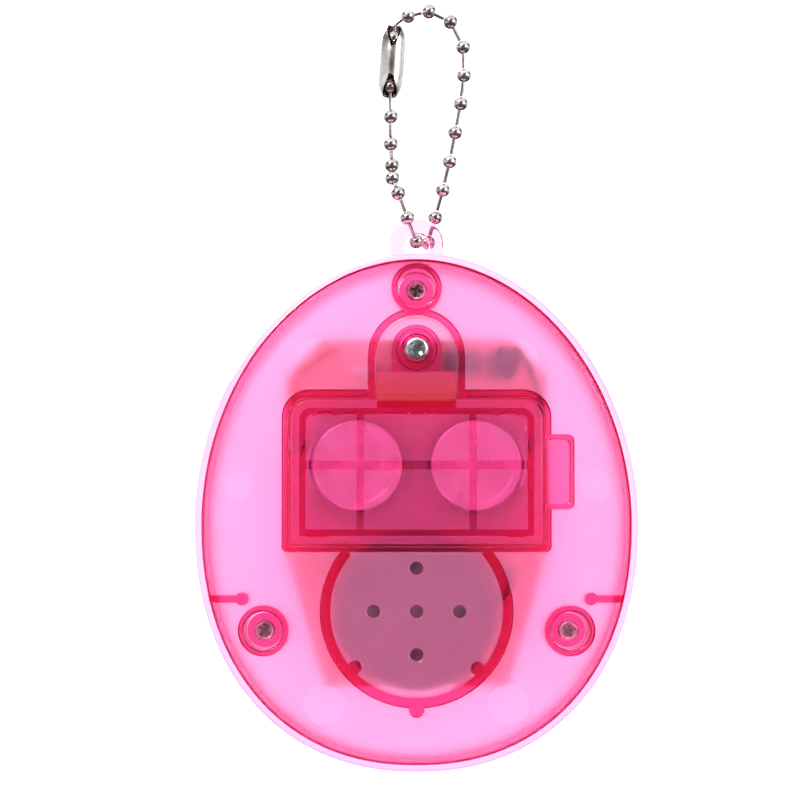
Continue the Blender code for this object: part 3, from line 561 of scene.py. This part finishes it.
def make_front_shell():
    O, I = shell_out, shell_in
    shares = [math.sin(math.radians(a)) ** 0.62 for a in (88, 84, 80, 75, 70, 64, 58, 51, 43, 34, 24, 14, 6)]
    shell = egg_loft("front_shell_moulding", [(SIDE + 0.15, 1, 0.85), (SIDE + 0.15, 1, SEAM), (0.14, 1, SEAM), (0, 1, SEAM - 0.16), (0, 1, -FRONT_EDGE)] + [(0, min(s, 0.9995), dome_y(min(s, 0.9995))) for s in shares], O, rim_side)
    mark_painted_edge_shade(shell, 0.55)
    hollow = egg_loft("hollow", [(SIDE + 0.8, 1, 1.5), (SIDE + 0.8, 1, -1.0), (1.1, 1, -1.2), (1.1, 1, -2.6), (0, 0.94, -4.0), (0, 0.9, -4.95), (0, 0.845, -5.7), (0, 0.77, -6.25), (0, 0.7, -6.4)], I)
    for x, z in CASE_SCREWS:
        cut(hollow, cylinder("k", x, z, 2.4, -9.0, 0.9, 36, I))
    for side in (1, -1):
        cut(hollow, cylinder("k", side * 15.2, 10.0, 1.3, -9.1, PCB_Y[0] - 0.1, 28, I))
    cut(shell, hollow)
    for x, z in CASE_SCREWS:
        cut(shell, cylinder("k", x, z, 0.9, -4.6, 1.7, 24, I))
    for side in (1, -1):
        cut(shell, cylinder("k", side * 15.2, 10.0, 0.62, -4.4, 0.0, 16, I))
    z0, z1 = WINDOW_Z - 13.15, WINDOW_Z + 13.15
    cut(shell, prism("k", rounded(-15.15, 15.15, z0, z1, 6.1, 12), -12.0, -7.9, O))
    cut(shell, prism("k", rounded(-12.8, 12.8, WINDOW_Z - 10.8, WINDOW_Z + 10.8, 4.1, 12), -12.5, -5.0, O))
    for x, z in BUTTONS.values():
        cut(shell, cylinder("k", x, z, 3.05, -12.1, -5.2, 48, O))
    settle(shell, shell_mat)
    finish_mesh(shell)
    weighted(shell)
    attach(shell, "case")
    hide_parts("front_shell")
    return shell


def edge_loft(name, outline, y0, y1, r, *mats, both=True):
    """A plate with rounded edges of radius r on its y1 face, and on its y0 face too if both."""
    st = []
    if both:
        st += [(grown(outline, -r * (1 - math.sin(t))), y0 + r * (1 - math.cos(t))) for t in (0.0, 0.5, 1.05)] + [(outline, y0 + r)]
    else:
        st.append((outline, y0))
    st += [(outline, y1 - r)] + [(grown(outline, -r * (1 - math.cos(t))), y1 - r + r * math.sin(t)) for t in (0.4, 0.8, 1.2, 1.5708)]
    return loft(name, st, *mats)


def make_door():
    D = door_out
    x0, x1, z0, z1 = DOOR
    y0, y1 = DOOR_Y
    d = edge_loft("battery_door_moulding", rounded(x0, x1, z0, z1, (2.4, 2.4, 0.3, 0.3)), y0, y1, 0.22, D, door_in, both=False)
    for f in d.data.polygons:
        if f.normal.y < -0.9:
            f.material_index = 1
    rim = prism("rim", rounded(x0 + 1.0, x1 - 1.0, z0 + 1.0, z1 - 1.0, (1.5, 1.5, 0.3, 0.3)), 5.9, y0 + 0.3, D)
    cut(rim, prism("k", rounded(x0 + 1.8, x1 - 1.8, z0 + 1.8, z1 - 1.8, (0.9, 0.9, 0.2, 0.2)), 5.0, y0 + 1.0, D))
    join(d, rim)
    for x in (7.0, -7.0):
        join(d, box("k", x - 0.45, x + 0.45, 6.8, y0 + 0.32, z0 + 1.4, z1 - 1.4, D))
    join(d, box("k", x0 + 1.4, x1 - 1.4, 6.82, y0 + 0.34, CELL_Z - 0.55, CELL_Z + 0.55, D))
    slope = ((14.15, 4.75), (18.9, 4.75), (18.9, 6.11), (18.82, 6.37), (18.6, 6.55), (15.1, 7.9), (14.15, 7.9))
    join(d, rings_object("k", [[at(x, y, z) for z, y in slope] for x in (-4.9, 4.9)], D))
    tongue = edge_loft("tongue", arch(3.1, DOOR_SCREW[1], 17.9, 24), 4.65, 6.2, 0.25, D, both=False)
    join(tongue, ring_turned("k", *DOOR_SCREW, [(2.0, 5.7), (2.6, 5.7), (2.6, 6.5), (2.5, 6.65), (2.1, 6.65), (2.0, 6.55)], 44, D))
    join(d, tongue)
    for x in (12.4, -12.4):
        join(d, box("k", x - 1.3, x + 1.3, 5.2, y0 + 0.38, z0 + 0.85, z0 + 1.5, D))
    cut(d, cylinder("k", *DOOR_SCREW, 1.12, 3.0, 8.0, 28, D))
    # three shallow round dishes, a plain centre panel and polarity marks on the outer face
    for x, z, r in ((11.4, 11.6, 2.2), (-11.4, 11.6, 2.2), (0.0, 12.3, 1.65)):
        cut(d, turned("k", x, z, [(r - 0.14, y1 - 0.14), (r, y1 - 0.03), (r + 0.03, y1 + 0.5)], 44, D))
    for sx in (1, -1):                             # plus over the cell at +x and minus over the cell at -x, each by its can side
        cx, cz = sx * 12.2, 2.2
        bar = [(cx - 1.2, cz - 0.18), (cx + 1.2, cz - 0.18), (cx + 1.2, cz + 0.18), (cx - 1.2, cz + 0.18)]
        cut(d, prism("k", bar, y1 - 0.22, y1 + 0.5, D))
        if sx > 0:
            cut(d, prism("k", [(cx - 0.18, cz - 1.2), (cx + 0.18, cz - 1.2), (cx + 0.18, cz + 1.2), (cx - 0.18, cz + 1.2)], y1 - 0.221, y1 + 0.51, D))
    panel = rounded(-5.0, 4.4, 0.6, 9.7, 0.3, 3)
    inner = rounded(-4.72, 4.12, 0.88, 9.42, 0.25, 3)
    groove = loft("k", [(panel, y1 - 0.2), (panel, y1 + 0.5)], D)
    cut(groove, prism("k", inner, y1 - 1.0, y1 + 1.0, D))
    cut(d, groove)
    settle(d, door_mat)
    finish_mesh(d)
    weighted(d)
    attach(d, "battery_door")
    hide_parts("battery_door")
    return d


# ------------------------------------------------------------------ screws
def make_screw(name, x, z, head_r, head_h, shank_r, y_seat, y_tip, mat, body, spin, pitch=0.55):
    """Pan head with a rounded rim and a cross recess whose floor slopes in, on a threaded shank."""
    top = y_seat + head_h
    prof = [(shank_r * 0.25, y_tip), (shank_r * 0.7, y_tip + 0.5)]
    y = y_tip + 0.6
    while y < y_seat - 0.5:
        prof += [(shank_r * 0.8, y), (shank_r, y + pitch * 0.3), (shank_r, y + pitch * 0.4), (shank_r * 0.8, y + pitch * 0.7)]
        y += pitch
    prof += [(shank_r * 0.8, y_seat), (head_r * 0.97, y_seat), (head_r, y_seat + 0.08)]
    for k in range(7):
        a = math.pi / 2 * k / 6
        prof.append((head_r * 0.62 + head_r * 0.38 * math.cos(a), y_seat + head_h * 0.45 + head_h * 0.47 * math.sin(a)))
    prof.append((head_r * 0.3, top))
    s = turned(name, x, z, prof, 48, mat)
    w, l = head_r * 0.15, head_r * 0.62
    for i, a in enumerate((spin, spin + math.pi / 2)):
        c, sn = math.cos(a), math.sin(a)
        turn = lambda pts: [(x + c * u - sn * v, z + sn * u + c * v) for u, v in pts]
        up = [(-l, -w), (l, -w), (l, w), (-l, w)]
        low = [(-l * 0.45, -w * 0.6), (l * 0.45, -w * 0.6), (l * 0.45, w * 0.6), (-l * 0.45, w * 0.6)]
        cut(s, loft("k", [(turn(low), top - head_h * 0.75 - 0.01 * i), (turn(up), top - head_h * 0.12), (turn(up), top + 1.0)], mat))
    finish_mesh(s, 38)
    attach(s, body)
    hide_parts(name.replace("_detail", ""))
    return s


# ------------------------------------------------------------------ chain
def chain_point(x, y, z):
    return Vector((x, y, z - EGG_Z))


CHAIN = {
    "chain_end_ball_upper": (2.84, 1.0, -2.66),
    "chain_ball_01": (1.04, 1.0, 0.18),
    "chain_ball_02": (-1.61, 1.0, 0.74),
    "chain_ball_03": (-4.35, 1.0, -0.59),
    "chain_ball_04": (-5.96, 0.9, -3.80),
    "chain_ball_05": (-6.06, 0.8, -7.40),
    "chain_ball_06": (-5.64, 0.7, -11.00),
    "chain_ball_07": (-4.95, 0.5, -14.66),
    "chain_ball_08": (-4.24, 0.3, -18.33),
    "chain_ball_09": (-3.38, -0.1, -21.93),
    "chain_ball_10": (-2.41, -0.85, -25.37),
    "chain_ball_11": (-1.48, -1.1, -28.60),
    "chain_ball_12": (0.00, 2.4, -28.75),
    "chain_ball_13": (1.14, 3.8, -25.90),
    "chain_ball_14": (2.29, 3.1, -22.70),
    "chain_ball_15": (3.04, 2.5, -20.69),
    "chain_ball_16": (3.10, 2.1, -19.03),
    "chain_ball_17": (3.24, 1.6, -16.26),
    "chain_ball_18": (3.24, 1.2, -12.71),
    "chain_end_ball_lower": (3.33, 1.0, -8.84),
}
CLASP_TOP, CLASP_LOW = chain_point(2.76, 1.0, -1.03), chain_point(3.40, 1.0, -10.23)
# each link wire is part of the ball it starts from and stops just short of the ball it leads to
WIRES = {
    "chain_end_ball_upper": ("chain_ball_01", [(2.74, 1.0, -1.51), (2.53, 1.0, -0.86), (1.88, 1.0, -0.32)]),
    "chain_ball_01": ("chain_ball_02", []),
    "chain_ball_02": ("chain_ball_03", []),
    "chain_ball_03": ("chain_ball_04", []),
    "chain_ball_04": ("chain_ball_05", []),
    "chain_ball_05": ("chain_ball_06", []),
    "chain_ball_06": ("chain_ball_07", []),
    "chain_ball_07": ("chain_ball_08", []),
    "chain_ball_08": ("chain_ball_09", []),
    "chain_ball_09": ("chain_ball_10", []),
    "chain_ball_10": ("chain_ball_11", []),
    "chain_ball_11": ("chain_ball_12", []),
    "chain_ball_13": ("chain_ball_12", []),
    "chain_ball_14": ("chain_ball_13", []),
    "chain_ball_15": ("chain_ball_14", []),
    "chain_ball_17": ("chain_ball_16", []),
    "chain_ball_18": ("chain_ball_17", []),
    "chain_end_ball_lower": ("chain_ball_18", []),
}


def frame_of(direction):
    d = direction.normalized()
    side = d.cross(Vector((0, 1, 0)))
    side = side.normalized() if side.length > 1e-6 else Vector((1, 0, 0))
    return side, d.cross(side).normalized(), d


def swept(name, points, radius, n, mat):
    rings = []
    for i, p in enumerate(points):
        a, b = points[max(0, i - 1)], points[min(len(points) - 1, i + 1)]
        u, v, _ = frame_of(b - a)
        rings.append([p + (u * math.cos(2 * math.pi * k / n) + v * math.sin(2 * math.pi * k / n)) * radius for k in range(n)])
    return rings_object(name, [[at(*q) for q in ring] for ring in rings], mat)


def smooth_route(points, steps=6):
    out = []
    n = len(points)
    for i in range(n - 1):
        p0, p1, p2, p3 = (points[max(0, min(n - 1, i + k))] for k in (-1, 0, 1, 2))
        for s in range(steps):
            t = s / steps
            out.append(0.5 * ((2 * p1) + (p2 - p0) * t + (2 * p0 - 5 * p1 + 4 * p2 - p3) * t * t + (3 * p1 - p0 - 3 * p2 + p3) * t ** 3))
    out.append(points[-1])
    return out


def make_ball(name, body):
    """A pressed bead: round, with a dimpled collar at each hole, and its link wire."""
    place = chain_point(*CHAIN[name])
    names = list(CHAIN)
    i = names.index(name)
    before = chain_point(*CHAIN[names[max(0, i - 1)]])
    after = chain_point(*CHAIN[names[min(len(names) - 1, i + 1)]])
    if name.startswith("chain_end"):
        way = CLASP_LOW - CLASP_TOP
    else:
        way = (place - before).normalized() + (after - place).normalized()
    u, v, d = frame_of(way)
    prof = [(0.27, -0.74), (0.31, -0.80), (0.37, -0.805)]
    for k in range(13):
        a = math.radians(-64 + 128 * k / 12)
        prof.append((0.92 * math.cos(a), 0.875 * math.sin(a)))
    prof += [(0.37, 0.805), (0.31, 0.80), (0.27, 0.74)]
    n = 28
    rings = [[at(*(place + d * s + (u * math.cos(2 * math.pi * k / n) + v * math.sin(2 * math.pi * k / n)) * r)) for k in range(n)] for r, s in prof]
    ball = rings_object(name + "_bead", rings, ball_metal)
    if name in WIRES:
        goal, via = WIRES[name]
        route = [place] + [chain_point(*p) for p in via] + [chain_point(*CHAIN[goal])]
        last = (route[-1] - route[-2]).normalized()
        route[-1] = route[-1] - last * 0.94
        route[0] = route[0] + (route[1] - route[0]).normalized() * 0.3
        if via:
            route = smooth_route(route)
        # the wire stops just short of the next bead
        wire = swept("k", route, 0.235, 14, nickel)
        ball.data.materials.append(nickel)
        bm = bmesh.new()
        bm.from_mesh(ball.data)
        start = len(bm.faces)
        bm.from_mesh(wire.data)
        bm.faces.ensure_lookup_table()
        for f in bm.faces[start:]:
            f.material_index = 1
        bm.to_mesh(ball.data)
        bm.free()
        bpy.data.objects.remove(wire, do_unlink=True)
    finish_mesh(ball, 40)
    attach(ball, body)
    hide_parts(name)
    return ball


def make_connector():
    """Thin sheet rolled into a barrel, with a keyhole slot at each end."""
    top, low = CLASP_TOP, CLASP_LOW
    u, v, d = frame_of(low - top)
    long = (low - top).length
    outer, inner = [], []
    steps = 26
    for k in range(steps + 1):
        t = k / steps
        s = long * t
        e = min(s, long - s)
        r = 1.55 - 0.17 * (abs(2 * t - 1) ** 2) - 0.62 * max(0.0, 1 - e / 1.9) ** 2.0
        outer.append((r, s))
        inner.append((r - 0.2, s))
    n = 56
    rings = [[at(*(top + d * s + (u * math.cos(2 * math.pi * k / n) + v * math.sin(2 * math.pi * k / n)) * r)) for k in range(n)] for r, s in outer + list(reversed(inner))]
    body = rings_object("chain_connector_barrel", rings, clasp_metal, closed=True)
    reach = Vector((0, 1, 0))
    for at_top in (True, False):
        # pointed arch slot opening at the end of the barrel
        s_end, sign = (-0.6, 1) if at_top else (long + 0.6, -1)
        depth = 2.9
        side = []
        for k in range(13):
            t = k / 12
            half = 0.30 + 0.62 * math.sin(math.pi * min(1.0, t * 0.62 + 0.30)) * (1 - t ** 3)
            side.append((t * (depth + 0.6), half))
        outline = [(s_end + sign * s, h) for s, h in side] + [(s_end + sign * s, -h) for s, h in reversed(side[:-1])]
        outline = outline + []
        rings = [[at(*(top + d * s + u * h + reach * r)) for s, h in outline] for r in (0.0, 3.0)]
        boolean(body, rings_object("k", rings, clasp_metal))
    finish_mesh(body, 35)
    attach(body, "chain_top")
    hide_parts("chain_connector")
    return body


# ------------------------------------------------------------------ inside pieces
def make_cell(name, x):
    y0, y1 = CELL_Y0, CELL_Y0 + CELL_H
    prof = [(4.5, y0), (4.75, y0 + 0.08), (4.85, y0 + 0.25), (4.88, y0 + 0.45), (5.2, y0 + 0.48), (5.45, y0 + 0.52), (5.65, y0 + 0.66), (5.78, y0 + 0.9), (CELL_R, y0 + 1.1),
            (CELL_R, y1 - 0.5), (5.74, y1 - 0.25), (5.6, y1 - 0.08), (5.4, y1), (4.7, y1 - 0.005), (4.62, y1 - 0.06), (4.5, y1 - 0.065)]
    c = turned(name + "_can", x, CELL_Z, prof, 72, cell_steel)
    finish_mesh(c, 40)
    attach(c, "case")
    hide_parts(name)


def make_button(name, x, z):
    prof = [(1.2, -3.8), (1.4, -3.9), (1.4, -5.4), (3.5, -5.4), (3.6, -5.5), (3.6, -6.1), (3.5, -6.2), (2.9, -6.2), (2.9, -9.1)]
    for k in range(8):
        a = math.pi / 2 * k / 7
        prof.append((2.45 + 0.45 * math.cos(a), -9.1 - 0.6 * math.sin(a)))
    prof += [(1.9, -9.88), (1.3, -10.0), (0.6, -10.06), (0.2, -10.075)]
    b = turned(name + "_cap", x, z, prof, 56, button_mat)
    finish_mesh(b, 40)
    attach(b, name)
    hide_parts(name)


def make_bezel():
    z0, z1 = WINDOW_Z - 13.0, WINDOW_Z + 13.0
    o = rounded(-15.0, 15.0, z0, z1, 6.0, 12)
    st = [(o, -8.0), (o, -8.9)] + [(grown(o, -0.4 * (1 - math.cos(t))), -8.9 - 0.4 * math.sin(t)) for t in (0.4, 0.8, 1.2, 1.5708)]
    b = loft("screen_bezel_ring", st, bezel_mat)
    i = rounded(-11.0, 11.0, WINDOW_Z - 9.0, WINDOW_Z + 9.0, 3.0, 12)
    cut(b, loft("k", [(i, -7.0), (i, -8.7), (grown(i, 0.25), -9.0), (grown(i, 0.9), -9.31), (grown(i, 0.9), -11.0)], bezel_mat))
    finish_mesh(b, 40)
    weighted(b)
    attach(b, "case")
    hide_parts("screen_bezel")


def make_lens():
    o = rounded(-12.6, 12.6, WINDOW_Z - 10.6, WINDOW_Z + 10.6, 4.0, 10)
    l = edge_loft("screen_lens_window", o, -7.8, -6.55, 0.15, lens_mat, both=True)
    finish_mesh(l, 40)
    weighted(l)
    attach(l, "case")
    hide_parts("screen_lens")


make_rear_shell()
make_front_shell()
make_door()
make_screw("case_screw_top_detail", *CASE_SCREWS[0], 1.35, 1.15, 0.8, 3.1, -4.2, steel_painted_pink_reflection, "case", 0.25)
make_screw("case_screw_left_detail", *CASE_SCREWS[1], 1.35, 1.15, 0.8, 3.1, -4.2, steel_painted_pink_reflection, "case", 0.6)
make_screw("case_screw_right_detail", *CASE_SCREWS[2], 1.35, 1.15, 0.8, 3.1, -4.2, steel_painted_pink_reflection, "case", -0.35)
make_screw("door_screw_detail", *DOOR_SCREW, 1.6, 1.2, 0.8, 6.3, 2.2, screw_nickel, "door_screw", math.pi / 4)
make_cell("cell_left", CELL_X)
make_cell("cell_right", -CELL_X)
for n, (bx, bz) in BUTTONS.items():
    make_button(n, bx, bz)
make_bezel()
make_lens()
BODY_OF = {n: b for b, ns in frame["record"]["behaviour"]["bodies"].items() for n in ns}
for ball_name in CHAIN:
    make_ball(ball_name, BODY_OF[ball_name])
make_connector()

# CAD nodes whose shape is right: a finer edge and a real finish
for node, mat, width in (
        ("lcd_panel", lcd_mat, 0.15), ("lcd_carrier", carrier_mat, 0.15), ("zebra_strip", silicone, 0.2), ("circuit_board", board_mat, 0.06),
        ("board_screw_left", steel_painted_pink_reflection, 0.0), ("board_screw_right", steel_painted_pink_reflection, 0.0), ("chip_blob", epoxy, 0.0), ("crystal_can", cell_steel, 0.25),
        ("capacitor", epoxy, 0.2), ("rubber_keypad", silicone, 0.1), ("speaker_disc", sounder_metal_painted_shade, 0.0), ("speaker_ceramic", ceramic, 0.0),
        ("contact_positive", cell_steel, 0.0), ("contact_bridge", cell_steel, 0.0), ("contact_negative", cell_steel, 0.0), ("contact_bridge_pad", cell_steel, 0.0),
        ("battery_wire_red", red_pvc, 0.0), ("speaker_wire_red", red_pvc, 0.0), ("battery_wire_black", black_pvc, 0.0), ("speaker_wire_black", black_pvc, 0.0)):
    o = frame["nodes"][node]
    o.data.materials.clear()
    o.data.materials.append(mat)
    if width:
        b = o.modifiers.new("edge", "BEVEL")
        b.width, b.segments, b.limit_method, b.angle_limit = width * MM, 3, "ANGLE", math.radians(40)

# ------------------------------------------------------------------ floor, light
floor_mat = Nodes("floor_white")
floor_mat.set(Base_Color=floor_mat.ramp(floor_mat.noise(3.0), (0.3, (0.93, 0.93, 0.93)), (0.7, (0.95, 0.95, 0.95))), Roughness=0.9)
floor = mesh_object("floor", [(-6, -6, -0.20), (6, -6, -0.20), (6, 6, -0.20), (-6, 6, -0.20)], [(0, 1, 2, 3)], floor_mat.m)
floor.visible_glossy = False

world = bpy.data.worlds.new("studio")
scene.world = world
world.use_nodes = True
wt = world.node_tree
bg = wt.nodes["Background"]
bg.inputs["Color"].default_value = (1, 1, 1, 1)
bg.inputs["Strength"].default_value = 2.0
coord = wt.nodes.new("ShaderNodeTexCoord")
sep = wt.nodes.new("ShaderNodeSeparateXYZ")
wt.links.new(coord.outputs["Generated"], sep.inputs[0])
ramp = wt.nodes.new("ShaderNodeValToRGB")
stops = ((0.0, 0.10), (0.30, 0.10), (0.42, 0.80), (0.58, 0.95), (0.66, 0.16), (0.76, 0.24), (0.86, 1.3), (1.0, 1.3))
for _ in stops[2:]:
    ramp.color_ramp.elements.new(0.5)
for element, (where, grey) in zip(ramp.color_ramp.elements, stops):
    element.position, element.color = where, (grey, grey, grey, 1)
to01 = wt.nodes.new("ShaderNodeMapRange")
to01.inputs["From Min"].default_value, to01.inputs["From Max"].default_value = -1.0, 1.0
wt.links.new(sep.outputs["Z"], to01.inputs["Value"])
wt.links.new(to01.outputs["Result"], ramp.inputs["Fac"])
studio = wt.nodes.new("ShaderNodeBackground")
# the two long directions are the dark ends of the tent, so flat faces seen straight on carry no veil
end = wt.nodes.new("ShaderNodeMath")
end.operation = "ABSOLUTE"
wt.links.new(sep.outputs["Y"], end.inputs[0])
ends = wt.nodes.new("ShaderNodeMapRange")
ends.inputs["From Min"].default_value, ends.inputs["From Max"].default_value = 0.80, 0.97
ends.inputs["To Min"].default_value, ends.inputs["To Max"].default_value = 1.0, 0.12
wt.links.new(end.outputs[0], ends.inputs["Value"])
dim = wt.nodes.new("ShaderNodeVectorMath")
dim.operation = "SCALE"
wt.links.new(ramp.outputs["Color"], dim.inputs[0])
wt.links.new(ends.outputs["Result"], dim.inputs["Scale"])
wt.links.new(dim.outputs[0], studio.inputs["Color"])
studio.inputs["Strength"].default_value = 1.0
path = wt.nodes.new("ShaderNodeLightPath")
mix = wt.nodes.new("ShaderNodeMixShader")
only = wt.nodes.new("ShaderNodeMath")
only.operation, only.use_clamp = "SUBTRACT", True
wt.links.new(path.outputs["Is Glossy Ray"], only.inputs[0])
wt.links.new(path.outputs["Is Transmission Ray"], only.inputs[1])
wt.links.new(only.outputs[0], mix.inputs["Fac"])
wt.links.new(bg.outputs[0], mix.inputs[1])
wt.links.new(studio.outputs[0], mix.inputs[2])
wt.links.new(mix.outputs[0], wt.nodes["World Output"].inputs["Surface"])


def area(name, place, size, power, aim):
    l = bpy.data.lights.new(name, "AREA")
    l.shape, l.size, l.energy = "DISK", size, power
    o = bpy.data.objects.new(name, l)
    scene.collection.objects.link(o)
    o.location = place
    o.rotation_mode = "QUATERNION"
    o.rotation_quaternion = (Vector(aim) - Vector(place)).to_track_quat("-Z", "Y")
    return o


centre = (0, 0, -0.05)
area("key", (0.45, 0.7, 0.55), 0.35, 6.0, centre)
area("fill", (-0.7, 0.5, 0.2), 0.5, 3.0, centre)
area("front", (0.3, -0.8, 0.4), 0.5, 5.0, centre)
